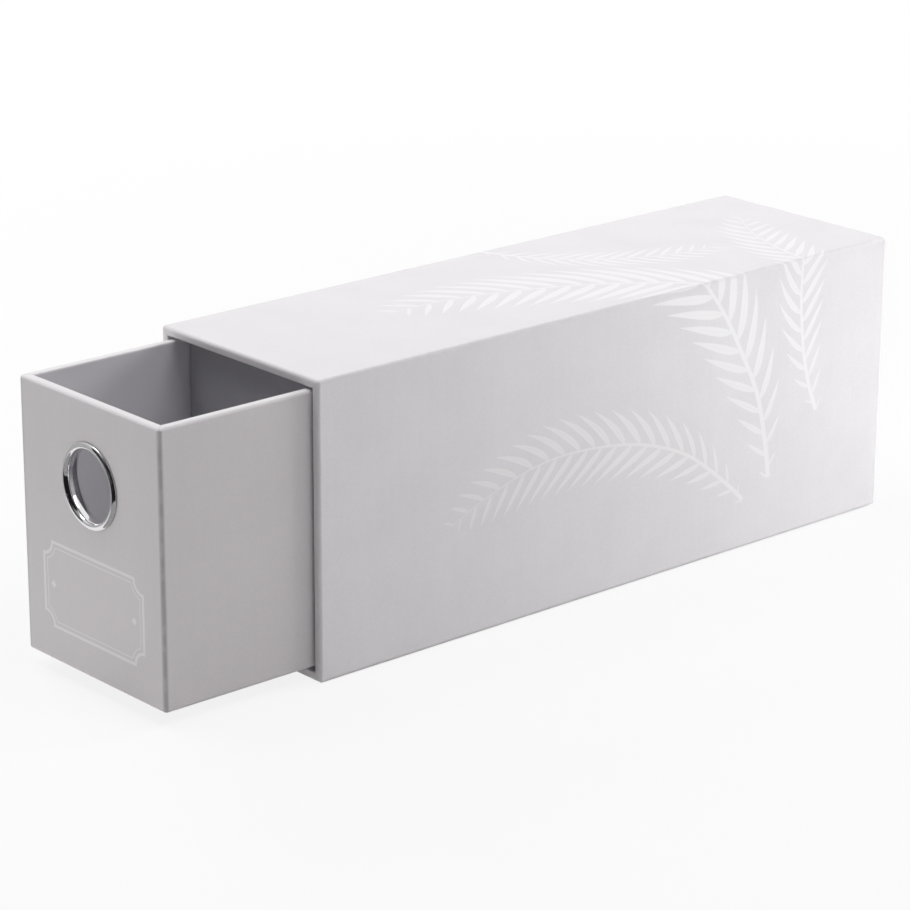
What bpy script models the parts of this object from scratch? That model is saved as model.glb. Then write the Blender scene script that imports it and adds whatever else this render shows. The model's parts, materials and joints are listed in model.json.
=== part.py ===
"""A drawer for trading cards: a paper-covered board tray that slides in a paper-covered board sleeve.

Lengths are in metres and +Z is up. The origin is the centre of the sleeve's underside. The sleeve's
mouth faces -Y, and the tray stands part of the way out of it, with a finger ring in its front wall.
"""

import math

import bmesh
import bpy
from mathutils import Vector

mm = 0.001

# Sleeve
SLEEVE_WIDTH = 87.3 * mm
SLEEVE_HEIGHT = 110.0 * mm
SLEEVE_LENGTH = 284.6 * mm
SLEEVE_BOARD = 2.0 * mm

# Paper, paste and folds, the same on the sleeve and the tray
PAPER = 0.3 * mm
SEAT = 0.3 * mm  # the line of paste, or of air, between two pieces that lie against each other
FOLD_RADIUS = 1.2 * mm  # a wrap's fold over an outside edge
RIM_FOLD_RADIUS = 0.5 * mm  # the tighter fold where it turns inwards from a rim
SLEEVE_TURN_IN = 15.0 * mm  # how far the sleeve's wrap is folded in behind the mouth
DRAWER_TURN_IN = 64.0 * mm  # how far the tray's wrap is folded down behind its rim, well past the finger ring
TURN_OVER = 12.0 * mm  # how far it is folded onto the face that a second sheet then covers
SHEET_MARGIN = 1.5 * mm  # that second sheet stops this far from the edges

# Tray
DRAWER_BOARD = 2.4 * mm
DRAWER_FLOOR_BOARD = 2.0 * mm
BASE_CARD = 1.0 * mm
BASE_CARD_INSET = 10.0 * mm
SIDE_CLEARANCE = 0.7 * mm  # tray to passage, on each side
TOP_CLEARANCE = 1.0 * mm
END_CLEARANCE = 0.8 * mm
PULLED_OUT = 63.6 * mm  # how far the tray stands out of the mouth

# Dividers in the tray
DIVIDER_NAMES = ("front", "middle", "rear")
DIVIDER_BOARD = 1.5 * mm
DIVIDER_DROP = 1.0 * mm  # from the tray's rim down to a divider's top
DIVIDER_FOLD_RADIUS = 0.7 * mm

# Finger ring, pressed from one sheet of metal
RING_DROP = 30.1 * mm  # from the tray's rim down to its centre
RING_BORE_RADIUS = 12.5 * mm
RING_FLANGE_WIDTH = 2.9 * mm
RING_CROWN = 1.2 * mm  # the flange's highest circle above the wrap
RING_METAL = 0.5 * mm
BARREL_FLARE = 1.1 * mm  # how much wider the bore is at its inner end
CLINCH_WIDTH = 1.7 * mm
CLINCH_ROLL = 1.0 * mm
WASHER_WIDTH = 2.6 * mm
WASHER_THICKNESS = 0.4 * mm
CREST_SHARE = 0.46  # where the crown stands across the flange, from the bore outwards

# How fine round shapes are, how far a cutter runs past what it cuts, and what counts as one point
OVERRUN = 2.0 * mm
MERGE_DISTANCE = 0.01 * mm
FOLD_SEGMENTS = 4
BOARD_EDGE_SEGMENTS = 2
RING_STEPS = 56
ARC_STEPS = 5
FLARE_STEPS = 4
FOLD_ANGLE = math.radians(60)
SHARP_ANGLE = math.radians(35)
ROUND_PROFILE_SHARE = 0.5  # a fold bent to a quarter circle
FACING_SHARE = 0.99  # how squarely a face looks along a direction to count as facing it
FILLET_LIMIT_SHARE = 0.45  # the most of a wall or a board that one fold or rounded edge may take

# A sheet with its paste line, and the walls that are built up from them
LAYER = PAPER + SEAT
SLEEVE_WALL = 2 * LAYER + SLEEVE_BOARD
DRAWER_WALL = 2 * LAYER + DRAWER_BOARD
DRAWER_FLOOR = 2 * LAYER + DRAWER_FLOOR_BOARD
DIVIDER_THICKNESS = 2 * LAYER + DIVIDER_BOARD

# The passage in the sleeve, measured from its mouth and from the underside
PASSAGE_HALF_WIDTH = SLEEVE_WIDTH / 2 - SLEEVE_WALL
PASSAGE_FLOOR = LAYER + SLEEVE_WALL
PASSAGE_TOP = SLEEVE_HEIGHT - SLEEVE_WALL
PASSAGE_LENGTH = SLEEVE_LENGTH - LAYER - SLEEVE_WALL

# The tray, which fills the passage but for its clearances
DRAWER_HALF_WIDTH = PASSAGE_HALF_WIDTH - SIDE_CLEARANCE
DRAWER_LENGTH = PASSAGE_LENGTH - END_CLEARANCE
DRAWER_UNDERSIDE = PASSAGE_FLOOR + SEAT + BASE_CARD + SEAT
DRAWER_HEIGHT = PASSAGE_TOP - TOP_CLEARANCE - DRAWER_UNDERSIDE
RING_HEIGHT = DRAWER_HEIGHT - RING_DROP
RING_HOLE_RADIUS = RING_BORE_RADIUS + BARREL_FLARE + RING_METAL + SEAT

BACK = Vector((0, 1, 0))
UP = Vector((0, 0, 1))


# Scene, materials and placing

def clear_scene():
    for item in list(bpy.data.objects):
        bpy.data.objects.remove(item, do_unlink=True)


def new_collection(name):
    collection = bpy.data.collections.new(name)
    bpy.context.scene.collection.children.link(collection)
    return collection


def new_material(name, colour, roughness, metallic=0.0):
    material = bpy.data.materials.new(name)
    material.use_nodes = True
    shader = material.node_tree.nodes["Principled BSDF"]
    shader.inputs["Base Color"].default_value = (*colour, 1.0)
    shader.inputs["Roughness"].default_value = roughness
    shader.inputs["Metallic"].default_value = metallic
    return material


def new_frame(name, location, collection):
    """An empty that carries one of the two assemblies."""
    frame = bpy.data.objects.new(name, None)
    frame.location = location
    collection.objects.link(frame)
    return frame


def add_piece(name, shape, frame, material, collection, location=(0, 0, 0)):
    """Turns a bmesh into a named piece that hangs on its frame."""
    mesh = bpy.data.meshes.new(name)
    shape.to_mesh(mesh)
    shape.free()
    mesh.shade_smooth()
    mesh.set_sharp_from_angle(angle=SHARP_ANGLE)
    piece = bpy.data.objects.new(name, mesh)
    piece.location = location
    piece.parent = frame
    mesh.materials.append(material)
    collection.objects.link(piece)
    return piece


def block_shape(low, high):
    """A box between two corners."""
    shape = bmesh.new()
    bmesh.ops.create_cube(shape, size=1)
    bmesh.ops.scale(shape, vec=high - low, verts=shape.verts)
    bmesh.ops.translate(shape, vec=(low + high) / 2, verts=shape.verts)
    return shape


def face_towards(shape, direction):
    """The outermost face that looks along a direction."""
    shape.normal_update()
    facing = [face for face in shape.faces if face.normal.dot(direction) > FACING_SHARE]
    return max(facing, key=lambda face: face.calc_center_median().dot(direction))


# Boards and sheets

def board(name, low, high, frame, material, collection, edge_radius):
    """A flat board with its edges eased so that the paper folds round them."""
    piece = add_piece(name, block_shape(low, high), frame, material, collection)
    thickness = min(high - low)
    easing = piece.modifiers.new("eased edges", "BEVEL")
    easing.width = min(edge_radius, thickness * FILLET_LIMIT_SHARE)
    easing.segments = BOARD_EDGE_SEGMENTS
    easing.limit_method = "ANGLE"
    return piece


def plain_sheet(name, low, high, frame, material, collection):
    """A flat sheet of paper."""
    return add_piece(name, block_shape(low, high), frame, material, collection)


def make_paper(piece, offset):
    """Gives a folded surface its thickness, behind it with offset -1 or in front of it with 1."""
    solid = piece.modifiers.new("paper", "SOLIDIFY")
    solid.thickness = PAPER
    solid.offset = offset
    solid.use_even_offset = True


def round_folds(shape, edges, radius):
    bmesh.ops.bevel(
        shape,
        geom=edges,
        offset=radius,
        segments=FOLD_SEGMENTS,
        profile=ROUND_PROFILE_SHARE,
        affect="EDGES",
        material=-1,
        clamp_overlap=True,
    )


def outside_folds(shape):
    """The edges where a sheet folds over an outside corner."""
    shape.normal_update()
    return [
        edge
        for edge in shape.edges
        if len(edge.link_faces) == 2 and edge.is_convex and edge.calc_face_angle() > FOLD_ANGLE
    ]


def wrap(name, low, high, wall, mouth, turn_in, covered, frame, material, collection):
    """One sheet folded round a box: over the mouth's rims and in, and onto each covered face."""
    shape = block_shape(low, high)
    rim = face_towards(shape, mouth)
    bmesh.ops.inset_region(shape, faces=[rim], thickness=wall, use_even_offset=True)
    rim_folds = list(rim.edges)
    turned = bmesh.ops.extrude_face_region(shape, geom=[rim])["geom"]
    inner_end = [item for item in turned if isinstance(item, bmesh.types.BMVert)]
    bmesh.ops.translate(shape, vec=-mouth * turn_in, verts=inner_end)
    opened = [item for item in turned if isinstance(item, bmesh.types.BMFace)]
    bmesh.ops.delete(shape, geom=[rim, *opened], context="FACES_ONLY")
    for direction in covered:
        window = face_towards(shape, direction)
        bmesh.ops.inset_region(shape, faces=[window], thickness=TURN_OVER, use_even_offset=True)
        bmesh.ops.delete(shape, geom=[window], context="FACES_ONLY")
    round_folds(shape, rim_folds, min(RIM_FOLD_RADIUS, wall * FILLET_LIMIT_SHARE))
    round_folds(shape, outside_folds(shape), min(FOLD_RADIUS, wall * FILLET_LIMIT_SHARE))
    piece = add_piece(name, shape, frame, material, collection)
    make_paper(piece, -1)
    return piece


def lining_tube(name, low, high, axis, frame, material, collection):
    """A sheet that lines four walls: its visible face is the box given, open at both ends."""
    shape = block_shape(low, high)
    ends = [face_towards(shape, axis), face_towards(shape, -axis)]
    bmesh.ops.delete(shape, geom=ends, context="FACES_ONLY")
    piece = add_piece(name, shape, frame, material, collection)
    make_paper(piece, 1)
    return piece


def divider_cover(name, low, high, frame, material, collection):
    """A sheet folded over a divider's top and round its ends, open underneath."""
    shape = block_shape(low, high)
    bmesh.ops.delete(shape, geom=[face_towards(shape, -UP)], context="FACES_ONLY")
    round_folds(shape, outside_folds(shape), DIVIDER_FOLD_RADIUS)
    piece = add_piece(name, shape, frame, material, collection)
    make_paper(piece, -1)
    return piece


# Turned metal

def turned(name, profile, frame, material, collection, location):
    """A ring turned from a closed profile of (radius, height towards the front) points."""
    shape = bmesh.new()
    points = [shape.verts.new((radius, 0, height)) for radius, height in profile]
    for index, point in enumerate(points):
        shape.edges.new((points[index - 1], point))
    piece = add_piece(name, shape, frame, material, collection, location)
    piece.rotation_euler = (math.radians(90), 0, 0)
    spin = piece.modifiers.new("turning", "SCREW")
    spin.angle = math.tau
    spin.screw_offset = 0
    spin.steps = RING_STEPS
    spin.render_steps = RING_STEPS
    spin.use_merge_vertices = True
    spin.merge_threshold = MERGE_DISTANCE
    spin.use_smooth_shade = True
    return piece


def arc(centre, radii, start, end):
    """Points on a quarter of an ellipse, its ends included."""
    steps = [start + (end - start) * index / ARC_STEPS for index in range(ARC_STEPS + 1)]
    return [
        (centre[0] + radii[0] * math.cos(angle), centre[1] + radii[1] * math.sin(angle))
        for angle in steps
    ]


def bore_radius(depth_share):
    """The bore's radius, which opens out towards its inner end."""
    return RING_BORE_RADIUS + BARREL_FLARE * depth_share ** 2


def ring_profile():
    """The ring's section: crown, flange, barrel and the lip that is clinched over the washer."""
    crest = RING_BORE_RADIUS + RING_FLANGE_WIDTH * CREST_SHARE
    flange_edge = RING_BORE_RADIUS + RING_FLANGE_WIDTH
    barrel_end = bore_radius(1)
    clinch_front = -(DRAWER_WALL + SEAT + WASHER_THICKNESS + SEAT)
    clinch_back = clinch_front - RING_METAL
    clinch_edge = RING_HOLE_RADIUS + CLINCH_WIDTH
    shares = [index / FLARE_STEPS for index in range(FLARE_STEPS + 1)]
    crown = arc((crest, SEAT), (flange_edge - crest, RING_CROWN - SEAT), math.radians(90), 0)
    barrel_outside = [(bore_radius(0) + RING_METAL, SEAT)]
    barrel_outside += [(bore_radius(share) + RING_METAL, -DRAWER_WALL * share) for share in shares]
    clinch = [
        (barrel_end + RING_METAL, clinch_front),
        (clinch_edge, clinch_front),
        (clinch_edge, clinch_back),
    ]
    roll = arc(
        (barrel_end + CLINCH_ROLL, clinch_back + CLINCH_ROLL),
        (CLINCH_ROLL, CLINCH_ROLL),
        math.radians(270),
        math.radians(180),
    )
    bore = [(bore_radius(share), -DRAWER_WALL * share) for share in reversed(shares[1:])]
    lip = arc((crest, 0), (crest - RING_BORE_RADIUS, RING_CROWN), math.radians(180), math.radians(90))
    return crown + barrel_outside + clinch + roll + bore + lip[:-1]


def washer_profile():
    front = -(DRAWER_WALL + SEAT)
    back = front - WASHER_THICKNESS
    edge = RING_HOLE_RADIUS + WASHER_WIDTH
    return [(RING_HOLE_RADIUS, front), (edge, front), (edge, back), (RING_HOLE_RADIUS, back)]


# Sleeve

def make_sleeve(frame, papers, collection):
    wrap_low = Vector((-SLEEVE_WIDTH / 2, 0, LAYER))
    wrap_high = Vector((SLEEVE_WIDTH / 2, SLEEVE_LENGTH - LAYER, SLEEVE_HEIGHT))
    layer = Vector((LAYER, LAYER, LAYER))
    low = wrap_low + layer
    high = wrap_high - layer
    edge_radius = FOLD_RADIUS - LAYER
    back_front = high.y - SLEEVE_BOARD
    tube_end = back_front - SEAT

    def sleeve_board(name, board_low, board_high):
        board(name, board_low, board_high, frame, papers["board"], collection, edge_radius)

    sleeve_board("sleeve_back_board", Vector((low.x, back_front, low.z)), high)
    sleeve_board("sleeve_bottom_board", low, Vector((high.x, tube_end, low.z + SLEEVE_BOARD)))
    sleeve_board(
        "sleeve_top_board",
        Vector((low.x, low.y, high.z - SLEEVE_BOARD)),
        Vector((high.x, tube_end, high.z)),
    )
    side_low = low.z + SLEEVE_BOARD + SEAT
    side_high = high.z - SLEEVE_BOARD - SEAT
    for name, x in (("sleeve_left_board", low.x), ("sleeve_right_board", high.x - SLEEVE_BOARD)):
        sleeve_board(
            name,
            Vector((x, low.y, side_low)),
            Vector((x + SLEEVE_BOARD, tube_end, side_high)),
        )

    wrap(
        "sleeve_wrap",
        wrap_low,
        wrap_high,
        SLEEVE_WALL,
        -BACK,
        SLEEVE_TURN_IN,
        (BACK, -UP),
        frame,
        papers["sleeve"],
        collection,
    )
    plain_sheet(
        "sleeve_base_sheet",
        Vector((wrap_low.x + SHEET_MARGIN, SHEET_MARGIN, 0)),
        Vector((wrap_high.x - SHEET_MARGIN, wrap_high.y - SHEET_MARGIN, PAPER)),
        frame,
        papers["sleeve"],
        collection,
    )
    plain_sheet(
        "sleeve_back_sheet",
        Vector((wrap_low.x + SHEET_MARGIN, SLEEVE_LENGTH - PAPER, wrap_low.z + SHEET_MARGIN)),
        Vector((wrap_high.x - SHEET_MARGIN, SLEEVE_LENGTH, wrap_high.z - SHEET_MARGIN)),
        frame,
        papers["sleeve"],
        collection,
    )
    lining_tube(
        "sleeve_liner",
        Vector((-PASSAGE_HALF_WIDTH, SLEEVE_TURN_IN + SEAT, PASSAGE_FLOOR)),
        Vector((PASSAGE_HALF_WIDTH, tube_end, PASSAGE_TOP)),
        BACK,
        frame,
        papers["lining"],
        collection,
    )
    plain_sheet(
        "sleeve_back_liner",
        Vector((-PASSAGE_HALF_WIDTH + SEAT, PASSAGE_LENGTH, PASSAGE_FLOOR + SEAT)),
        Vector((PASSAGE_HALF_WIDTH - SEAT, tube_end, PASSAGE_TOP - SEAT)),
        frame,
        papers["lining"],
        collection,
    )


# Tray

def make_ring_hole_cutter(frame, collection):
    """A rod along Y through the front wall, where the finger ring goes."""
    shape = bmesh.new()
    bmesh.ops.create_cone(
        shape,
        cap_ends=True,
        segments=RING_STEPS,
        radius1=RING_HOLE_RADIUS,
        radius2=RING_HOLE_RADIUS,
        depth=DRAWER_WALL + 2 * OVERRUN,
    )
    mesh = bpy.data.meshes.new("ring_hole_cutter")
    shape.to_mesh(mesh)
    shape.free()
    cutter = bpy.data.objects.new("ring_hole_cutter", mesh)
    cutter.location = (0, DRAWER_WALL / 2, RING_HEIGHT)
    cutter.rotation_euler = (math.radians(90), 0, 0)
    cutter.parent = frame
    cutter.hide_render = True
    cutter.display_type = "WIRE"
    collection.objects.link(cutter)
    return cutter


def cut(piece, cutter):
    hole = piece.modifiers.new("ring hole", "BOOLEAN")
    hole.operation = "DIFFERENCE"
    hole.solver = "EXACT"
    hole.object = cutter


def make_tray(frame, papers, collection, cutter):
    wrap_low = Vector((-DRAWER_HALF_WIDTH, 0, 0))
    wrap_high = Vector((DRAWER_HALF_WIDTH, DRAWER_LENGTH, DRAWER_HEIGHT))
    layer = Vector((LAYER, LAYER, LAYER))
    low = wrap_low + layer
    high = wrap_high - layer
    floor_top = low.z + DRAWER_FLOOR_BOARD
    wall_foot = floor_top + SEAT
    edge_radius = FOLD_RADIUS - LAYER

    def tray_board(name, board_low, board_high):
        return board(name, board_low, board_high, frame, papers["board"], collection, edge_radius)

    tray_board("drawer_floor_board", low, Vector((high.x, high.y, floor_top)))
    front_board = tray_board(
        "drawer_front_board",
        Vector((low.x, low.y, wall_foot)),
        Vector((high.x, low.y + DRAWER_BOARD, high.z)),
    )
    tray_board(
        "drawer_back_board",
        Vector((low.x, high.y - DRAWER_BOARD, wall_foot)),
        high,
    )
    side_front = low.y + DRAWER_BOARD + SEAT
    side_back = high.y - DRAWER_BOARD - SEAT
    for name, x in (("drawer_left_board", low.x), ("drawer_right_board", high.x - DRAWER_BOARD)):
        tray_board(
            name,
            Vector((x, side_front, wall_foot)),
            Vector((x + DRAWER_BOARD, side_back, high.z)),
        )

    tray_wrap = wrap(
        "drawer_wrap",
        wrap_low,
        wrap_high,
        DRAWER_WALL,
        UP,
        DRAWER_TURN_IN,
        (-UP,),
        frame,
        papers["drawer"],
        collection,
    )
    board(
        "drawer_base_card",
        Vector((wrap_low.x + BASE_CARD_INSET, BASE_CARD_INSET, -SEAT - BASE_CARD)),
        Vector((wrap_high.x - BASE_CARD_INSET, wrap_high.y - BASE_CARD_INSET, -SEAT)),
        frame,
        papers["drawer"],
        collection,
        PAPER,
    )
    inner_half_width = DRAWER_HALF_WIDTH - DRAWER_WALL
    liner_top = DRAWER_HEIGHT - DRAWER_TURN_IN - SEAT
    tray_liner = lining_tube(
        "drawer_liner",
        Vector((-inner_half_width, DRAWER_WALL, wall_foot)),
        Vector((inner_half_width, DRAWER_LENGTH - DRAWER_WALL, liner_top)),
        UP,
        frame,
        papers["tray_lining"],
        collection,
    )
    plain_sheet(
        "drawer_floor_liner",
        Vector((-inner_half_width + SEAT, DRAWER_WALL + SEAT, wall_foot)),
        Vector((inner_half_width - SEAT, DRAWER_LENGTH - DRAWER_WALL - SEAT, DRAWER_FLOOR)),
        frame,
        papers["tray_lining"],
        collection,
    )
    for piece in (front_board, tray_wrap, tray_liner):
        cut(piece, cutter)


def make_dividers(frame, papers, collection):
    count = len(DIVIDER_NAMES)
    inner_half_width = DRAWER_HALF_WIDTH - DRAWER_WALL - SEAT
    inner_length = DRAWER_LENGTH - 2 * DRAWER_WALL
    compartment = (inner_length - count * DIVIDER_THICKNESS) / (count + 1)
    foot = DRAWER_FLOOR + SEAT
    top = DRAWER_HEIGHT - DIVIDER_DROP
    for index, name in enumerate(DIVIDER_NAMES):
        start = DRAWER_WALL + compartment + index * (compartment + DIVIDER_THICKNESS)
        low = Vector((-inner_half_width, start, foot))
        high = Vector((inner_half_width, start + DIVIDER_THICKNESS, top))
        divider_cover(f"divider_{name}_cover", low, high, frame, papers["divider"], collection)
        board(
            f"divider_{name}_board",
            low + Vector((LAYER, LAYER, 0)),
            high - Vector((LAYER, LAYER, LAYER)),
            frame,
            papers["board"],
            collection,
            DIVIDER_FOLD_RADIUS - LAYER,
        )


def make_finger_ring(frame, metal, collection):
    centre = (0, 0, RING_HEIGHT)
    turned("finger_ring", ring_profile(), frame, metal, collection, centre)
    turned("ring_back_washer", washer_profile(), frame, metal, collection, centre)


def main():
    clear_scene()
    parts = new_collection("card_storage_drawer")
    cutters = new_collection("cutters")
    papers = {
        "sleeve": new_material("pearl white paper", (0.80, 0.785, 0.80), 0.42),
        "drawer": new_material("silver grey paper", (0.66, 0.64, 0.655), 0.45),
        "lining": new_material("plain grey lining", (0.52, 0.51, 0.52), 0.75),
        "tray_lining": new_material("grey tray lining", (0.60, 0.585, 0.60), 0.7),
        "divider": new_material("grey divider cover", (0.47, 0.46, 0.48), 0.7),
        "board": new_material("grey board", (0.33, 0.32, 0.30), 0.9),
    }
    chrome = new_material("polished chrome", (0.80, 0.80, 0.81), 0.06, 1.0)

    mouth = Vector((0, -SLEEVE_LENGTH / 2, 0))
    sleeve = new_frame("sleeve", mouth, parts)
    drawer = new_frame("drawer_slide", mouth + Vector((0, -PULLED_OUT, DRAWER_UNDERSIDE)), parts)
    make_sleeve(sleeve, papers, parts)
    cutter = make_ring_hole_cutter(drawer, cutters)
    make_tray(drawer, papers, parts, cutter)
    make_dividers(drawer, papers, parts)
    make_finger_ring(drawer, chrome, parts)


main()
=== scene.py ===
"""The looks of a card drawer: a paper-covered tray that slides in a paper-covered sleeve."""

import json
import math

import bmesh
import bpy
from mathutils import Matrix, Vector


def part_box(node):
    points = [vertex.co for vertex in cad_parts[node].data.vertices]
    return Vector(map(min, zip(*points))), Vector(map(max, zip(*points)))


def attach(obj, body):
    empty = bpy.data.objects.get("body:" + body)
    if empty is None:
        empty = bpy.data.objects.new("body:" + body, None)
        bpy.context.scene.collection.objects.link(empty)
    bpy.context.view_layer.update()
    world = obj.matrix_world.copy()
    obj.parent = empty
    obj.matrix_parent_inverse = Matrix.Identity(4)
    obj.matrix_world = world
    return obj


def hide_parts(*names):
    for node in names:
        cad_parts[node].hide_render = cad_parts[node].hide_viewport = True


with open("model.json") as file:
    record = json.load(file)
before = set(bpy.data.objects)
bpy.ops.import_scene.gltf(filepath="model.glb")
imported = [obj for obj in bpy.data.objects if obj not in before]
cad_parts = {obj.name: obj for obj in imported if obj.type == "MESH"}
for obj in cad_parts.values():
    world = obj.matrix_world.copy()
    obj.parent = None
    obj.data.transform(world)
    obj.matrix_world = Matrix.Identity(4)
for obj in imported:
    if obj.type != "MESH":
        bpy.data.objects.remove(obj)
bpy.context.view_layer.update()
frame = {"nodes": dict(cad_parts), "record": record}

mm = 0.001


def box_of(node):
    """A CAD node's lowest and highest corners."""
    return [Vector(corner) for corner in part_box(node)]


SLEEVE_LOW, SLEEVE_HIGH = box_of("sleeve_wrap")
TRAY_LOW, TRAY_HIGH = box_of("drawer_wrap")
RING_CENTRE = sum(box_of("finger_ring"), Vector()) / 2

SLEEVE_WALL, TRAY_WALL = 3.2 * mm, 3.6 * mm
SLEEVE_TURN_IN, TRAY_TURN_IN, TURN_OVER = 15 * mm, 64 * mm, 12 * mm
PAPER = 0.3 * mm
EDGE_FOLD, RIM_FOLD, DIVIDER_FOLD = 1.2 * mm, 0.5 * mm, 0.7 * mm
SEAT = 0.3 * mm  # the hair's breadth between two pieces that touch

RING_BORE, RING_HOLE = 12.5 * mm, 14.4 * mm
RING_METAL, WASHER_METAL = 0.5 * mm, 0.4 * mm
FLANGE_WIDTH, FLANGE_CROWN, FLANGE_CREST = 2.9 * mm, 1.2 * mm, 0.46
THROAT_DEPTH = 1.5 * mm
BARREL_CLEARANCE, FLARE_POWER = 0.15 * mm, 1.8
CLINCH_WIDTH, CLINCH_EDGE = 1.7 * mm, 0.15 * mm
WASHER_EASE = 0.08 * mm

FORWARD, BACKWARD = Vector((0, -1, 0)), Vector((0, 1, 0))
UPWARD, DOWNWARD = Vector((0, 0, 1)), Vector((0, 0, -1))


# Shader maths

class Number:
    """A shader socket that holds a number, with Python's operators as Math nodes."""

    def __init__(self, graph, socket):
        self.graph = graph
        self.socket = socket

    def __add__(self, other):
        return self.graph.math("ADD", self, other)

    def __radd__(self, other):
        return self.graph.math("ADD", other, self)

    def __sub__(self, other):
        return self.graph.math("SUBTRACT", self, other)

    def __rsub__(self, other):
        return self.graph.math("SUBTRACT", other, self)

    def __mul__(self, other):
        return self.graph.math("MULTIPLY", self, other)

    def __rmul__(self, other):
        return self.graph.math("MULTIPLY", other, self)

    def __truediv__(self, other):
        return self.graph.math("DIVIDE", self, other)

    def __rtruediv__(self, other):
        return self.graph.math("DIVIDE", other, self)

    def __pow__(self, other):
        return self.graph.math("POWER", self, other)

    def __abs__(self):
        return self.graph.math("ABSOLUTE", self)

    def __lt__(self, other):
        return self.graph.math("LESS_THAN", self, other)


class Graph:
    """The nodes of a material or of the world."""

    def __init__(self, tree):
        self.nodes = tree.nodes
        self.links = tree.links

    def node(self, kind, settings=None, **sockets):
        """Adds a node: its settings first, then its sockets by name, or by number as _0."""
        added = self.nodes.new(kind)
        for name, value in (settings or {}).items():
            setattr(added, name, value)
        for name, value in sockets.items():
            key = int(name[1:]) if name[0] == "_" else name.replace("_", " ")
            self.feed(added.inputs[key], value)
        return added

    def feed(self, socket, value):
        if isinstance(value, Number):
            value = value.socket
        if isinstance(value, bpy.types.NodeSocket):
            self.links.new(value, socket)
        else:
            socket.default_value = value

    def math(self, operation, *values):
        sockets = {f"_{index}": value for index, value in enumerate(values)}
        added = self.node("ShaderNodeMath", {"operation": operation}, **sockets)
        return Number(self, added.outputs[0])

    def smallest(self, first, *others):
        for other in others:
            first = self.math("MINIMUM", first, other)
        return first

    def largest(self, first, *others):
        for other in others:
            first = self.math("MAXIMUM", first, other)
        return first

    def rise(self, value, low, high):
        """0 below low and 1 above high, with a soft step between them."""
        added = self.node(
            "ShaderNodeMapRange",
            {"interpolation_type": "SMOOTHSTEP"},
            Value=value,
            From_Min=low,
            From_Max=high,
        )
        return Number(self, added.outputs[0])

    def line(self, value, half_width, softness):
        """1 where value is within half_width of zero."""
        return 1 - self.rise(abs(value), half_width - softness, half_width + softness)

    def blend_colours(self, share, first, second):
        added = self.node("ShaderNodeMix", {"data_type": "RGBA"})
        self.feed(added.inputs[0], share)
        for socket, colour in ((added.inputs[6], first), (added.inputs[7], second)):
            self.feed(socket, (*colour, 1.0) if isinstance(colour, tuple) else colour)
        return added.outputs[2]

    def seen_or_mirrored(self):
        """1 for what the camera sees, directly or in something shiny or clear."""
        path = self.node("ShaderNodeLightPath")
        rays = ("Is Camera Ray", "Is Glossy Ray", "Is Transmission Ray")
        return self.largest(*(Number(self, path.outputs[ray]) for ray in rays))


class Paint(Graph):
    """A material, with patterns that read the point on the piece."""

    def __init__(self, name):
        self.material = bpy.data.materials.new(name)
        self.material.use_nodes = True
        super().__init__(self.material.node_tree)
        self.shader = self.nodes["Principled BSDF"]
        self.coordinates = self.node("ShaderNodeTexCoord").outputs["Object"]

    def place(self):
        """The point on the piece, as three numbers."""
        parts = self.node("ShaderNodeSeparateXYZ", _0=self.coordinates)
        return [Number(self, output) for output in parts.outputs]

    def noise(self, scale, detail=2.0, stretch=(1, 1, 1)):
        stretched = self.node("ShaderNodeMapping", Vector=self.coordinates, Scale=stretch)
        added = self.node(
            "ShaderNodeTexNoise", Vector=stretched.outputs[0], Scale=scale, Detail=detail
        )
        return Number(self, added.outputs["Fac"])

    def bump(self, height, distance, under=None):
        added = self.node("ShaderNodeBump", Strength=1.0, Distance=distance, Height=height)
        if under is not None:
            self.feed(added.inputs["Normal"], under)
        return added.outputs[0]

    def finish(self, **sockets):
        for name, value in sockets.items():
            self.feed(self.shader.inputs[name.replace("_", " ")], value)
        return self.material


def tinted(colour, share):
    return tuple(channel * share for channel in colour)


# Papers and boards

SLEEVE_COLOUR = (0.780, 0.760, 0.779)
SLEEVE_PRINT = (0.865, 0.852, 0.865)
SLEEVE_RUBBED = (0.84, 0.83, 0.835)

DRAWER_COLOUR = (0.675, 0.643, 0.662)
DRAWER_INSIDE = (0.712, 0.696, 0.728)
DRAWER_PRINT = (0.82, 0.80, 0.81)
# painted highlight: the paler tone given to the rim's top, where light falls on it
DRAWER_RIM_HIGHLIGHT = (0.80, 0.78, 0.795)
DRAWER_RUBBED = (0.74, 0.72, 0.735)

SLEEVE_LINING = (0.52, 0.51, 0.52)
DRAWER_LINING = (0.69, 0.68, 0.72)
DIVIDER_COLOUR = (0.41, 0.407, 0.428)
BOARD_COLOUR = (0.33, 0.32, 0.30)

METAL_COLOUR = (0.805, 0.80, 0.81)
METAL_SCUFFED = (0.715, 0.71, 0.72)

GRAIN_SHARE = 0.006
PRINT_EDGE = 0.08 * mm
PAPER_RELIEF = 0.012 * mm


def paper_ground(paint, colour, cloud_share=0.02, tooth_share=0.025):
    """Paper seen close: faint clouds, a fine tooth and a slight grain along one direction."""
    clouds = paint.noise(45, 3)
    tooth = paint.noise(1500, 3)
    grain = paint.noise(420, 2, stretch=(1, 1, 0.06))
    depth = cloud_share * clouds + tooth_share * tooth + GRAIN_SHARE * grain
    share = depth / (cloud_share + tooth_share + GRAIN_SHARE)
    low = tinted(colour, 1 - cloud_share - tooth_share)
    high = tinted(colour, 1 + cloud_share)
    return paint.blend_colours(paint.rise(share, 0.3, 0.7), low, high), tooth, grain


def fold_distance(paint, gaps):
    """How far a point on a box's outside is from its nearest edge, from its gaps to the walls."""
    pairs = [
        paint.largest(first, second)
        for index, first in enumerate(gaps)
        for second in gaps[index + 1:]
    ]
    return paint.smallest(*pairs)


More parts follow.
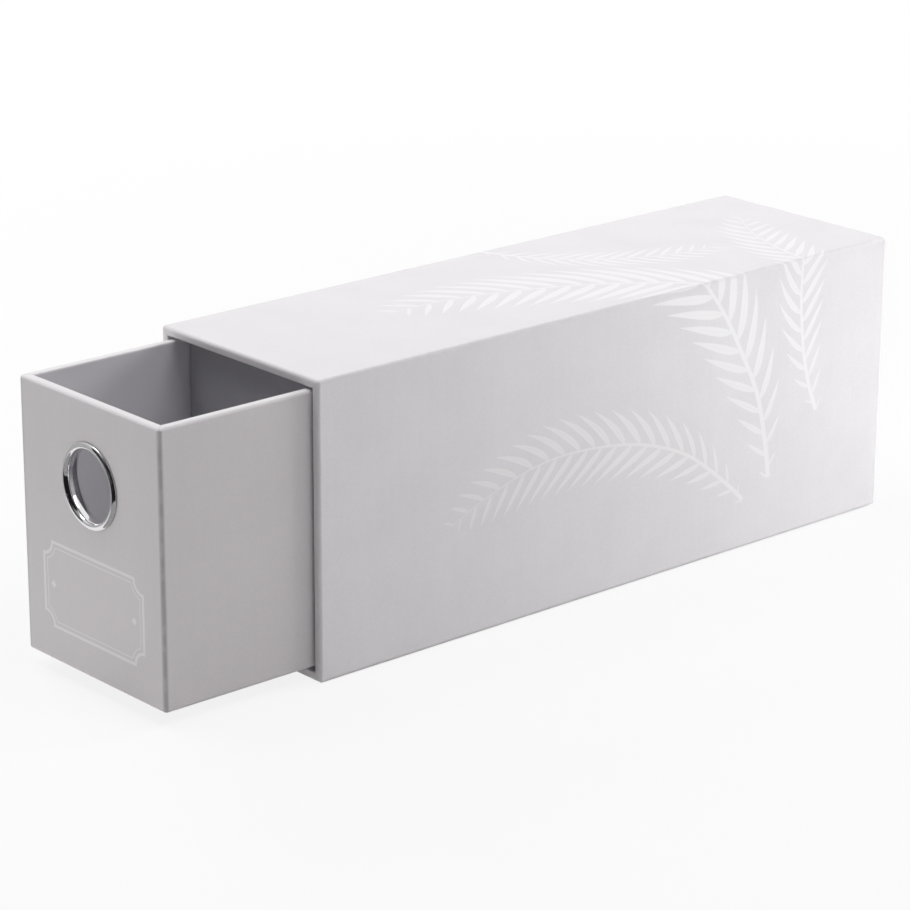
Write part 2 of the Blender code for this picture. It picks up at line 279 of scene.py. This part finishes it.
def box_gaps(paint, place, low, high):
    """The gaps to the side walls, the two ends and the top and bottom of a box about x = 0."""
    x, y, z = place
    return [
        high.x - abs(x),
        paint.smallest(y - low.y, high.y - y),
        paint.smallest(z - low.z, high.z - z),
    ]


def mitres(paint, gaps, wall, end_gap):
    """Where the turned paper meets itself: a line at 45 degrees across each corner of a rim."""
    first, second = gaps
    on_rim = paint.rise(PAPER - end_gap, 0, 0.1 * mm)
    near = paint.rise(wall - paint.smallest(first, second), 0, 0.2 * mm)
    return paint.line(first - second, 0.11 * mm, 0.05 * mm) * on_rim * near


# The printed sprays lie on the sheet before it is folded. Each row has the root and the tip (from
# the mouth, and from the top's right edge: above 0 over the top and on down the left side, below
# 0 down the right side), the stem's bow as a share of its length, and then the longest leaf, the
# spacing of the leaves and the stem's half width, all in mm.
SPRAYS = [
    ((222, -84), (70, 46), -0.20, 21, 9.6, 1.0),
    ((247, -62), (262, 58), 0.14, 14, 7.6, 0.8),
    ((208, -90), (60, -66), -0.17, 14, 7.8, 0.75),
    ((150, 88), (226, 34), -0.17, 11, 6.6, 0.7),
    ((200, 172), (84, 104), -0.20, 16, 8.4, 0.9),
    ((214, 168), (250, 100), 0.16, 13, 7.2, 0.75),
]
SPRAY_WARP = 4 * mm
LEAF_SLANT, LEAF_CURL, LEAF_WIDTH = 0.75, 0.5, 0.46
LEAST_LEAF = 0.05 * mm


def stem_arc(root, tip, bend):
    """The arc from root to tip that bows to one side by bend times the straight way.

    Gives its centre and radius, the angle of its middle, the angle it sweeps and its sense.
    """
    along, up = tip[0] - root[0], tip[1] - root[1]
    chord = math.hypot(along, up)
    bow = abs(bend) * chord
    radius = (chord ** 2 / 4 + bow ** 2) / (2 * bow)
    side = math.copysign(1, bend)
    outward = (-side * up / chord, side * along / chord)
    centre = [(root[axis] + tip[axis]) / 2 - outward[axis] * (radius - bow) for axis in (0, 1)]
    middle = math.atan2(outward[1], outward[0])
    return centre, radius, middle, 2 * math.asin(chord / (2 * radius)), -side


def spray(paint, u, t, root, tip, bend, leaf, pitch, stem):
    """A mask of one leafy spray, whose stem is an arc in the flat sheet."""
    centre, radius, middle, sweep, turn = stem_arc(root, tip, bend)
    du, dt = u - centre[0], t - centre[1]
    cosine, sine = math.cos(middle), math.sin(middle)
    forward = du * cosine + dt * sine
    sideways = dt * cosine - du * sine
    angle = paint.math("ARCTAN2", sideways, forward)
    length = sweep * radius
    along = (angle * turn + sweep / 2) * radius
    across = paint.math("SQRT", du * du + dt * dt) - radius
    side = abs(across)

    slanted = along - side * LEAF_SLANT - side * side * (LEAF_CURL / leaf)
    slanted = slanted + (across < 0) * (pitch / 2)
    cell = (paint.math("FLOOR", slanted / pitch) + 0.5) * pitch
    off_centre = abs(slanted - cell)
    share = cell / length
    fullness = paint.largest(share * (1.02 - share) * 4, 0) ** 0.6
    size = paint.largest(fullness * leaf, LEAST_LEAF)
    reach = side / size
    width = reach ** 0.75 * (1 - reach) * size * LEAF_WIDTH
    vein = paint.line(off_centre, 0.12 * mm, 0.06 * mm) * paint.rise(0.75 - reach, 0, 0.1)
    blade = paint.rise(width - off_centre, -PRINT_EDGE, PRINT_EDGE) * (1 - vein * 0.7)

    within = paint.rise(along, 0, 0.5 * mm) * paint.rise(length - along, 0, 0.5 * mm)
    stem_width = stem * (1.15 - along / length)
    stalk = paint.rise(stem_width - side, -PRINT_EDGE, PRINT_EDGE) * within
    return paint.largest(blade, stalk)


def leaf_print(paint, place):
    """The leaf pattern on the sleeve's paper, which runs over its top and both its sides."""
    x, y, z = place
    warp_u = (paint.noise(22, 1) - 0.5) * SPRAY_WARP
    warp_t = (paint.noise(17, 1) - 0.5) * SPRAY_WARP
    u = y - SLEEVE_LOW.y + warp_u
    side = paint.math("SIGN", x)
    t = SLEEVE_HIGH.x - x + side * (z - SLEEVE_HIGH.z) + warp_t
    masks = [
        spray(
            paint, u, t, [part * mm for part in root], [part * mm for part in tip], bend,
            leaf * mm, pitch * mm, stem * mm,
        )
        for root, tip, bend, leaf, pitch, stem in SPRAYS
    ]
    clear_of_edges = (
        paint.rise(z - SLEEVE_LOW.z, 3 * mm, 5 * mm)
        * paint.rise(u, 22 * mm, 24 * mm)
        * paint.rise(SLEEVE_HIGH.y - y, 4 * mm, 6 * mm)
    )
    return paint.largest(*masks) * clear_of_edges


def sleeve_paper():
    """Pale pearly paper with a slightly glossier print, rubbed at its folds."""
    paint = Paint("sleeve_paper")
    ground, tooth, grain = paper_ground(paint, SLEEVE_COLOUR)
    place = paint.place()
    gaps = box_gaps(paint, place, SLEEVE_LOW, SLEEVE_HIGH)
    rub = paint.noise(160, 3)
    folds = 1 - paint.rise(fold_distance(paint, gaps), 0.2 * mm, 1.6 * mm)
    rubbed = folds * paint.rise(rub, 0.42, 0.62)
    seam = mitres(paint, (gaps[0], gaps[2]), SLEEVE_WALL, place[1] - SLEEVE_LOW.y)
    printed = leaf_print(paint, place)
    coloured = paint.blend_colours(printed * 0.9, ground, SLEEVE_PRINT)
    coloured = paint.blend_colours(rubbed * 0.35, coloured, SLEEVE_RUBBED)
    coloured = paint.blend_colours(seam * 0.5, coloured, tinted(SLEEVE_COLOUR, 0.6))
    waves = paint.bump(paint.noise(14, 1), 0.25 * mm)
    relief = tooth + grain * 0.2 + printed * 0.8 - seam * 3
    return paint.finish(
        Base_Color=coloured,
        Roughness=0.47 - 0.12 * printed + 0.08 * (tooth - 0.5) + 0.08 * rubbed,
        Normal=paint.bump(relief, PAPER_RELIEF, under=waves),
    )


LABEL_HALF_WIDE, LABEL_HALF_TALL = 28.5 * mm, 15.5 * mm
LABEL_HEIGHT, LABEL_HOLLOW = 28.5 * mm, 5.0 * mm
FINE_LINE_INSET = 1.9 * mm
STUD_INSET, STUD_SIZE = 5.2 * mm, 1.5 * mm


def label_frame(paint, place):
    """The blank label: the outline of a ticket with hollow corners, and the field within it."""
    x, y, z = place
    across = abs(x)
    up = abs(z - (TRAY_LOW.z + LABEL_HEIGHT))
    past_end, past_side = across - LABEL_HALF_WIDE, up - LABEL_HALF_TALL
    from_corner = paint.math("SQRT", past_end * past_end + past_side * past_side)
    outside = paint.largest(past_end, past_side, LABEL_HOLLOW - from_corner)
    bold = paint.line(outside, 0.55 * mm, 0.12 * mm)
    fine = paint.line(outside + FINE_LINE_INSET, 0.2 * mm, 0.08 * mm)
    from_stud = abs(across - (LABEL_HALF_WIDE - STUD_INSET))
    stud = paint.rise(STUD_SIZE - from_stud - up, -0.1 * mm, 0.1 * mm)
    on_front = paint.rise(0.8 * mm - (y - TRAY_LOW.y), 0, 0.2 * mm)
    outline = paint.largest(bold, fine, stud) * on_front
    field = paint.rise(0 - outside, 0, 0.3 * mm) * on_front
    return outline, field


def drawer_paper():
    """Silver grey paper, cooler inside, a paler rim as painted highlight, darker upright folds as
    painted shade.
    """
    paint = Paint("drawer_paper")
    ground, tooth, grain = paper_ground(paint, DRAWER_COLOUR, 0.015, 0.03)
    place = paint.place()
    gaps = box_gaps(paint, place, TRAY_LOW, TRAY_HIGH)
    rub = paint.noise(170, 3)
    folds = 1 - paint.rise(fold_distance(paint, gaps), 0.2 * mm, 1.5 * mm)
    rubbed = folds * paint.rise(rub, 0.45, 0.62)
    # painted shade: the upright corner folds are darkened in the colour, as though in shade
    upright = 1 - paint.rise(paint.largest(gaps[0], gaps[1]), 0.6 * mm, 2.0 * mm)
    # painted highlight: the top 1.3 mm of the tray is paler in colour, standing in for the light
    # on the rim
    rim = 1 - paint.rise(TRAY_HIGH.z - place[2], 0.3 * mm, 1.3 * mm)
    depth = paint.smallest(gaps[0], gaps[1])
    turned_in = paint.rise(depth, TRAY_WALL - 0.4 * mm, TRAY_WALL - 0.1 * mm)
    turned_in = turned_in * paint.rise(place[2] - TRAY_LOW.z, 5 * mm, 6 * mm)
    seam = mitres(paint, (gaps[0], gaps[1]), TRAY_WALL, TRAY_HIGH.z - place[2])
    outline, field = label_frame(paint, place)
    coloured = paint.blend_colours(field * 0.25, ground, tinted(DRAWER_COLOUR, 1.06))
    coloured = paint.blend_colours(turned_in * 0.9, coloured, DRAWER_INSIDE)
    coloured = paint.blend_colours(outline * 0.85, coloured, DRAWER_PRINT)
    # painted shade down the upright folds
    coloured = paint.blend_colours(upright * 0.8, coloured, tinted(DRAWER_COLOUR, 0.62))
    # painted highlight laid over the rim
    coloured = paint.blend_colours(rim * 0.9, coloured, DRAWER_RIM_HIGHLIGHT)
    coloured = paint.blend_colours(rubbed * 0.3, coloured, DRAWER_RUBBED)
    coloured = paint.blend_colours(seam * 0.5, coloured, tinted(DRAWER_COLOUR, 0.55))
    waves = paint.bump(paint.noise(18, 1), 0.2 * mm)
    relief = tooth + grain * 0.25 + outline * 0.8 - seam * 3
    return paint.finish(
        Base_Color=coloured,
        Roughness=0.43 - 0.12 * outline + 0.08 * (tooth - 0.5) + 0.08 * rubbed,
        Normal=paint.bump(relief, PAPER_RELIEF, under=waves),
    )


def lining_paper(name, colour):
    """Plain uncoated paper with a few pale fibres."""
    paint = Paint(name)
    ground, tooth, grain = paper_ground(paint, colour, 0.03, 0.04)
    fibres = paint.noise(700, 2, stretch=(1, 0.15, 1))
    flecks = paint.rise(fibres, 0.66, 0.74)
    coloured = paint.blend_colours(flecks * 0.3, ground, tinted(colour, 1.15))
    return paint.finish(
        Base_Color=coloured,
        Roughness=0.72 + 0.1 * (tooth - 0.5),
        Normal=paint.bump(tooth + grain * 0.5 + flecks * 0.4, 0.02 * mm),
    )


def grey_board():
    """Pressed board: flecked, with its plies showing as fine lines."""
    paint = Paint("grey_board")
    speckle = paint.noise(1100, 3)
    plies = paint.noise(2600, 1, stretch=(1, 0.05, 0.05))
    share = 0.6 * speckle + 0.4 * plies
    low, high = tinted(BOARD_COLOUR, 0.8), tinted(BOARD_COLOUR, 1.2)
    return paint.finish(
        Base_Color=paint.blend_colours(paint.rise(share, 0.35, 0.65), low, high),
        Roughness=0.85 + 0.1 * (speckle - 0.5),
        Normal=paint.bump(share, 0.05 * mm),
    )


def polished_metal():
    """Bright plating with a few hairline scuffs that run round it."""
    paint = Paint("polished_metal")
    scuff = paint.noise(900, 3, stretch=(1, 0.2, 1))
    scratched = paint.rise(scuff, 0.6, 0.68)
    return paint.finish(
        Base_Color=paint.blend_colours(scratched, METAL_COLOUR, METAL_SCUFFED),
        Metallic=1.0,
        Roughness=0.07 + 0.1 * scratched,
        Normal=paint.bump(paint.noise(300, 1), 0.004 * mm),
    )


LOOKS = {
    "sleeve_paper": sleeve_paper(),
    "drawer_paper": drawer_paper(),
    "sleeve_lining": lining_paper("sleeve_lining", SLEEVE_LINING),
    "drawer_lining": lining_paper("drawer_lining", DRAWER_LINING),
    "divider_paper": lining_paper("divider_paper", DIVIDER_COLOUR),
    "grey_board": grey_board(),
    "polished_metal": polished_metal(),
}
for entry in frame["record"]["subparts"]:
    node = frame["nodes"][entry["node"]]
    node.data.materials.clear()
    node.data.materials.append(LOOKS[entry["material_slot"]])


# The folded papers

SPIN_STEPS = 128
FOLD_STEPS = 10
SMOOTH_ANGLE = math.radians(40)
FOLD_ANGLE = math.radians(60)
LEAST_FLAT, FLAT_MARGIN = 1.0 * mm, 0.1 * mm


def finish_piece(name, shape, body, slot, *replaced):
    """Turns a bmesh into a named piece in place of CAD nodes."""
    mesh = bpy.data.meshes.new(name)
    shape.to_mesh(mesh)
    shape.free()
    mesh.shade_smooth()
    mesh.set_sharp_from_angle(angle=SMOOTH_ANGLE)
    mesh.materials.append(LOOKS[slot])
    piece = bpy.data.objects.new(name, mesh)
    bpy.context.scene.collection.objects.link(piece)
    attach(piece, body)
    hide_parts(*replaced)


def block(low, high):
    shape = bmesh.new()
    bmesh.ops.create_cube(shape, size=1)
    bmesh.ops.scale(shape, vec=high - low, verts=shape.verts)
    bmesh.ops.translate(shape, vec=(low + high) / 2, verts=shape.verts)
    return shape


def face_towards(shape, way):
    """The face that looks most nearly one way, and of those the outermost."""
    shape.normal_update()
    return max(
        shape.faces,
        key=lambda face: (round(face.normal.dot(way), 3), face.calc_center_median().dot(way)),
    )


def fold(shape, edges, radius):
    bmesh.ops.bevel(
        shape,
        geom=edges,
        offset=radius,
        segments=FOLD_STEPS,
        profile=0.5,
        affect="EDGES",
        material=-1,
        clamp_overlap=True,
    )


def outside_folds(shape):
    """The sharp edges that stand out between two faces."""
    shape.normal_update()
    return [
        edge
        for edge in shape.edges
        if len(edge.link_faces) == 2 and edge.is_convex and edge.calc_face_angle() > FOLD_ANGLE
    ]


def keep_flats(shape):
    """Rings each broad flat face with a hair-thin one, so that its shading stays flat."""
    broad = [
        face
        for face in shape.faces
        if min(edge.calc_length() for edge in face.edges) > LEAST_FLAT
    ]
    bmesh.ops.inset_individual(shape, faces=broad, thickness=FLAT_MARGIN, use_even_offset=True)


def cut_round_hole(shape, way, centre, radius):
    """Opens a round hole in the foremost flat face that looks one way along Y."""
    facing = [face for face in shape.faces if face.normal.dot(way) > 0.999]
    face = max(facing, key=lambda one: (round(-one.calc_center_median().y, 3), one.calc_area()))
    depth = face.calc_center_median().y
    rim = list(face.edges)
    bmesh.ops.delete(shape, geom=[face], context="FACES_ONLY")
    upright = Matrix.Rotation(math.radians(90), 4, "X")
    matrix = Matrix.Translation((centre.x, depth, centre.z)) @ upright
    circle = bmesh.ops.create_circle(shape, segments=SPIN_STEPS, radius=radius, matrix=matrix)
    round_edges = {edge for vert in circle["verts"] for edge in vert.link_edges}
    bmesh.ops.triangle_fill(shape, edges=[*rim, *round_edges], use_beauty=True, normal=way)
    shape.normal_update()


def thicken(shape):
    """Gives a folded sheet its thickness, behind the face that shows."""
    bmesh.ops.solidify(shape, geom=list(shape.faces), thickness=PAPER)


def folded_wrap(name, old, wall, mouth, turn_in, covered, body, slot, hole=None):
    """One sheet folded round a box: over the mouth's rims and in, and onto each covered face."""
    shape = block(*box_of(old))
    rim = face_towards(shape, mouth)
    bmesh.ops.inset_region(shape, faces=[rim], thickness=wall, use_even_offset=True)
    rim_folds = list(rim.edges)
    turned = bmesh.ops.extrude_face_region(shape, geom=[rim])["geom"]
    inner_end = [item for item in turned if isinstance(item, bmesh.types.BMVert)]
    bmesh.ops.translate(shape, vec=-mouth * turn_in, verts=inner_end)
    opened = [item for item in turned if isinstance(item, bmesh.types.BMFace)]
    bmesh.ops.delete(shape, geom=[rim, *opened], context="FACES_ONLY")
    for direction in covered:
        window = face_towards(shape, direction)
        bmesh.ops.inset_region(shape, faces=[window], thickness=TURN_OVER, use_even_offset=True)
        bmesh.ops.delete(shape, geom=[window], context="FACES_ONLY")
    fold(shape, rim_folds, RIM_FOLD)
    fold(shape, outside_folds(shape), EDGE_FOLD)
    keep_flats(shape)
    if hole is not None:
        shape.normal_update()
        for way in (FORWARD, BACKWARD):
            cut_round_hole(shape, way, *hole)
    thicken(shape)
    finish_piece(name, shape, body, slot, old)


def folded_cover(name, old, body, slot):
    """A sheet folded over a divider's top and round its ends, open underneath."""
    shape = block(*box_of(old))
    bmesh.ops.delete(shape, geom=[face_towards(shape, DOWNWARD)], context="FACES_ONLY")
    fold(shape, outside_folds(shape), DIVIDER_FOLD)
    keep_flats(shape)
    thicken(shape)
    finish_piece(name, shape, body, slot, old)


# The turned ring and its washer

def turned_shape(profile):
    """A ring turned round the finger hole from a closed row of points.

    Each point is a radius and a depth behind the drawer's front.
    """
    shape = bmesh.new()
    centre, front = RING_CENTRE, TRAY_LOW.y
    points = [shape.verts.new((centre.x + r, front + depth, centre.z)) for r, depth in profile]
    edges = [shape.edges.new((points[index - 1], point)) for index, point in enumerate(points)]
    bmesh.ops.spin(
        shape,
        geom=points + edges,
        cent=(centre.x, front, centre.z),
        axis=(0, 1, 0),
        angle=math.tau,
        steps=SPIN_STEPS,
        use_merge=True,
    )
    bmesh.ops.remove_doubles(shape, verts=shape.verts, dist=0.001 * mm)
    bmesh.ops.recalc_face_normals(shape, faces=shape.faces)
    return shape


def elliptic_arc(centre, radii, start, end, steps=14):
    """Points on an ellipse, from one angle in degrees to another."""
    angles = [math.radians(start + (end - start) * index / steps) for index in range(steps + 1)]
    return [
        (centre[0] + radii[0] * math.cos(angle), centre[1] + radii[1] * math.sin(angle))
        for angle in angles
    ]


def make_finger_ring():
    """A domed flange, a barrel that flares through the wall, and its edge clinched behind."""
    crest = RING_BORE + FLANGE_WIDTH * FLANGE_CREST
    flange_edge = RING_BORE + FLANGE_WIDTH
    clinch_front = TRAY_WALL + SEAT + WASHER_METAL + SEAT
    clinch_back = clinch_front + RING_METAL
    flare = RING_HOLE - RING_BORE - BARREL_CLEARANCE
    shares = [index / 16 for index in range(17)]
    barrel = [
        (
            RING_BORE + flare * share ** FLARE_POWER,
            THROAT_DEPTH + (clinch_back - THROAT_DEPTH) * share,
        )
        for share in shares
    ]
    barrel_outside = [
        (radius + RING_METAL, depth) for radius, depth in barrel if depth < clinch_front
    ]
    edge_radii = (CLINCH_EDGE, RING_METAL / 2)
    edge_centre = (RING_HOLE + CLINCH_WIDTH - edge_radii[0], clinch_front + edge_radii[1])
    throat_radii = (crest - RING_BORE, FLANGE_CROWN + THROAT_DEPTH)

    profile = elliptic_arc((crest, -SEAT), (flange_edge - crest, FLANGE_CROWN - SEAT), -90, 0)
    profile += [(RING_BORE + RING_METAL, -SEAT), *barrel_outside]
    profile += [(barrel_outside[-1][0] + RING_METAL / 2, clinch_front)]
    profile += elliptic_arc(edge_centre, edge_radii, -90, 90, 6)
    profile += reversed(barrel)
    profile += elliptic_arc((crest, THROAT_DEPTH), throat_radii, -180, -90)[1:-1]
    shape = turned_shape(profile)
    finish_piece("finger_ring_turned", shape, "drawer", "polished_metal", "finger_ring")


def make_ring_washer():
    low, high = box_of("ring_back_washer")
    outer = (high.x - low.x) / 2
    front, back = low.y - TRAY_LOW.y, high.y - TRAY_LOW.y
    profile = [
        (RING_HOLE, front), (outer - WASHER_EASE, front), (outer, front + WASHER_EASE),
        (outer, back - WASHER_EASE), (outer - WASHER_EASE, back), (RING_HOLE, back),
    ]
    shape = turned_shape(profile)
    finish_piece("ring_washer_turned", shape, "drawer", "polished_metal", "ring_back_washer")


folded_wrap(
    "sleeve_wrap_folded", "sleeve_wrap", SLEEVE_WALL, FORWARD, SLEEVE_TURN_IN,
    (BACKWARD, DOWNWARD), "sleeve", "sleeve_paper",
)
folded_wrap(
    "drawer_wrap_folded", "drawer_wrap", TRAY_WALL, UPWARD, TRAY_TURN_IN,
    (DOWNWARD,), "drawer", "drawer_paper", (RING_CENTRE, RING_HOLE),
)
for place_name in ("front", "middle", "rear"):
    cover = f"divider_{place_name}_cover"
    folded_cover(f"{cover}_folded", cover, "drawer", "divider_paper")
make_finger_ring()
make_ring_washer()


# Camera

AZIMUTH, ELEVATION, ROLL = (math.radians(angle) for angle in (48.547, 18.771, 0.228))
CAMERA_PLACE = (0.8992, -0.8365, 0.4583)
SENSOR_WIDTH, LENS = 36, 136.19


def make_camera():
    camera_data = bpy.data.cameras.new("camera")
    camera_data.sensor_width = SENSOR_WIDTH
    camera_data.lens = LENS
    camera_data.clip_end = 20
    camera = bpy.data.objects.new("camera", camera_data)
    turn = (
        Matrix.Rotation(AZIMUTH, 4, "Z")
        @ Matrix.Rotation(math.radians(90) - ELEVATION, 4, "X")
        @ Matrix.Rotation(ROLL, 4, "Z")
    )
    camera.matrix_world = Matrix.Translation(CAMERA_PLACE) @ turn
    bpy.context.scene.collection.objects.link(camera)
    bpy.context.scene.camera = camera


# Studio

STUDIO_CENTRE = Vector((0, -0.03, 0.05))
LAMP_REACH, STRIP_REACH = 1.2, 0.8
AMBIENT = 0.04
FLOOR_HEIGHT, FLOOR_SIZE = -0.1 * mm, 8
FLOOR_GLOW = 0.85
ROOM_REACH, ROOM_TOP = 0.17, 0.36
ROOF_REACH, ROOF_TOP = 0.07, 0.48
TABLE_START, TABLE_HEIGHT = 0.004, 0.001
PALE_START, DARK_START, DARK_END = 181, 229, 357  # azimuths, in degrees


def direction(elevation, azimuth):
    """A unit vector at angles in degrees, the azimuth counted from +X towards +Y."""
    tilt, turn = math.radians(elevation), math.radians(azimuth)
    level = math.cos(tilt)
    return Vector((level * math.cos(turn), level * math.sin(turn), math.sin(tilt)))


def area_light(name, place, target, size, power):
    light = bpy.data.lights.new(name, "AREA")
    light.shape = "RECTANGLE"
    light.size, light.size_y = size
    light.energy = power
    lamp = bpy.data.objects.new(name, light)
    lamp.location = place
    lamp.rotation_euler = (Vector(target) - Vector(place)).to_track_quat("-Z", "Y").to_euler()
    lamp.visible_camera = False
    bpy.context.scene.collection.objects.link(lamp)
    return lamp


def make_lamps():
    """Five large boxes about the object and two strips low down.

    The two lowest boxes give no sheen, which would turn the pale papers white from some sides.
    """
    boxes = [
        # name, elevation, azimuth, size, power, whether it gives sheen
        ("rear_right_box", 26, 71, 0.4, 7.0, False),
        ("left_box", 35, 180, 0.6, 7.1, False),
        ("right_box", 45, 20, 0.4, 0.8, True),
        ("overhead_right_box", 62, 0, 0.6, 4.0, True),
        ("overhead_left_box", 62, 225, 0.6, 4.4, True),
    ]
    for name, elevation, azimuth, size, power, sheen in boxes:
        place = STUDIO_CENTRE + LAMP_REACH * direction(elevation, azimuth)
        lamp = area_light(name, place, STUDIO_CENTRE, (size, size), power)
        lamp.visible_glossy = sheen
    front = Vector((0, -0.2, 0.05))
    side = Vector((0.0436, 0.15, 0.04))
    strips = [
        # name, place, target, size, power
        ("low_front_strip", front + STRIP_REACH * direction(0, 250), front, (0.6, 0.09), 1.8),
        ("near_side_strip", (0.24, 0.22, 0.03), side, (0.14, 0.05), 0.17),
    ]
    for strip in strips:
        area_light(*strip)


def make_world():
    """White where it is seen, and a faint even light on the object."""
    world = bpy.data.worlds.new("studio")
    world.use_nodes = True
    graph = Graph(world.node_tree)
    tone = graph.blend_colours(graph.seen_or_mirrored(), (AMBIENT,) * 3, (1.0,) * 3)
    graph.feed(graph.nodes["Background"].inputs["Color"], tone)
    bpy.context.scene.world = world


def stage_sheet(name, shape, material):
    """Turns a bmesh into a sheet of the studio."""
    mesh = bpy.data.meshes.new(name)
    shape.to_mesh(mesh)
    shape.free()
    mesh.materials.append(material)
    sheet = bpy.data.objects.new(name, mesh)
    bpy.context.scene.collection.objects.link(sheet)
    return sheet


def make_floor():
    """A white floor that keeps the object's shadow near it and is plain white further off."""
    paint = Paint("floor")
    paint.finish(Base_Color=(0.8, 0.8, 0.8, 1), Roughness=0.9)
    x, y, _ = paint.place()
    away = paint.rise(paint.math("SQRT", x * x + y * y), 0.25, 0.8)
    white = paint.node("ShaderNodeEmission", Strength=1.0)
    share = paint.seen_or_mirrored() * (FLOOR_GLOW + (1 - FLOOR_GLOW) * away)
    mixed = paint.node(
        "ShaderNodeMixShader", _0=share, _1=paint.shader.outputs[0], _2=white.outputs[0]
    )
    paint.feed(paint.nodes["Material Output"].inputs[0], mixed.outputs[0])
    shape = bmesh.new()
    bmesh.ops.create_grid(shape, x_segments=1, y_segments=1, size=FLOOR_SIZE / 2)
    bmesh.ops.translate(shape, vec=(0, 0, FLOOR_HEIGHT), verts=shape.verts)
    stage_sheet("floor", shape, paint.material)


def swept_sheet(name, points, start, end, material):
    """A sheet of the studio swept about the upright line through the ring.

    Only shiny things show it, and it goes where the ring goes, so that the tray never cuts it.
    Each point is a reach from that line and a height.
    """
    shape = bmesh.new()
    centre_x, centre_y = RING_CENTRE.x, TRAY_LOW.y
    first = direction(0, start)
    verts = [
        shape.verts.new((centre_x + reach * first.x, centre_y + reach * first.y, height))
        for reach, height in points
    ]
    edges = [shape.edges.new(pair) for pair in zip(verts, verts[1:])]
    bmesh.ops.spin(
        shape,
        geom=verts + edges,
        cent=(centre_x, centre_y, 0),
        axis=(0, 0, 1),
        angle=math.radians(end - start),
        steps=32,
    )
    sheet = stage_sheet(name, shape, material)
    sheet.visible_camera = False
    sheet.visible_diffuse = False
    sheet.visible_shadow = False
    sheet.visible_transmission = False
    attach(sheet, "drawer")


def glow(paint, tone):
    """Finishes a studio sheet that has its own brightness and reflects nothing."""
    return paint.finish(
        Base_Color=(0, 0, 0, 1),
        Roughness=1.0,
        Specular_IOR_Level=0.0,
        Emission_Color=tone,
        Emission_Strength=1.0,
    )


def dark_screen_glow():
    """Black, with a paler upper part at its left."""
    paint = Paint("dark_screen")
    x, _, z = paint.place()
    paler = paint.rise(z, 0.13, 0.27) * (1 - paint.rise(x, -0.01, 0.07))
    return glow(paint, paint.blend_colours(paler, (0.012, 0.011, 0.012), (0.36, 0.36, 0.36)))


def pale_screen_glow():
    """Pale grey, brighter towards its top."""
    paint = Paint("pale_screen")
    share = paint.rise(paint.place()[2], 0.10, 0.25)
    return glow(paint, paint.blend_colours(share, (0.46,) * 3, (0.80,) * 3))


def make_mirrored_room():
    """The dark half of the room, its paler left and a grey table, which the metal mirrors."""
    wall = [(ROOM_REACH, TABLE_HEIGHT), (ROOM_REACH, ROOM_TOP)]
    roofed = [*wall, (ROOF_REACH, ROOF_TOP)]
    table = [(TABLE_START, TABLE_HEIGHT), (ROOM_REACH, TABLE_HEIGHT)]
    table_glow = glow(Paint("grey_table"), (0.33, 0.33, 0.33, 1))
    swept_sheet("dark_screen", roofed, DARK_START, DARK_END, dark_screen_glow())
    swept_sheet("pale_screen", wall, PALE_START, DARK_START, pale_screen_glow())
    swept_sheet("grey_table", table, DARK_START, DARK_END, table_glow)


make_camera()
make_world()
make_floor()
make_lamps()
make_mirrored_room()

bpy.context.scene.view_settings.view_transform = "Standard"
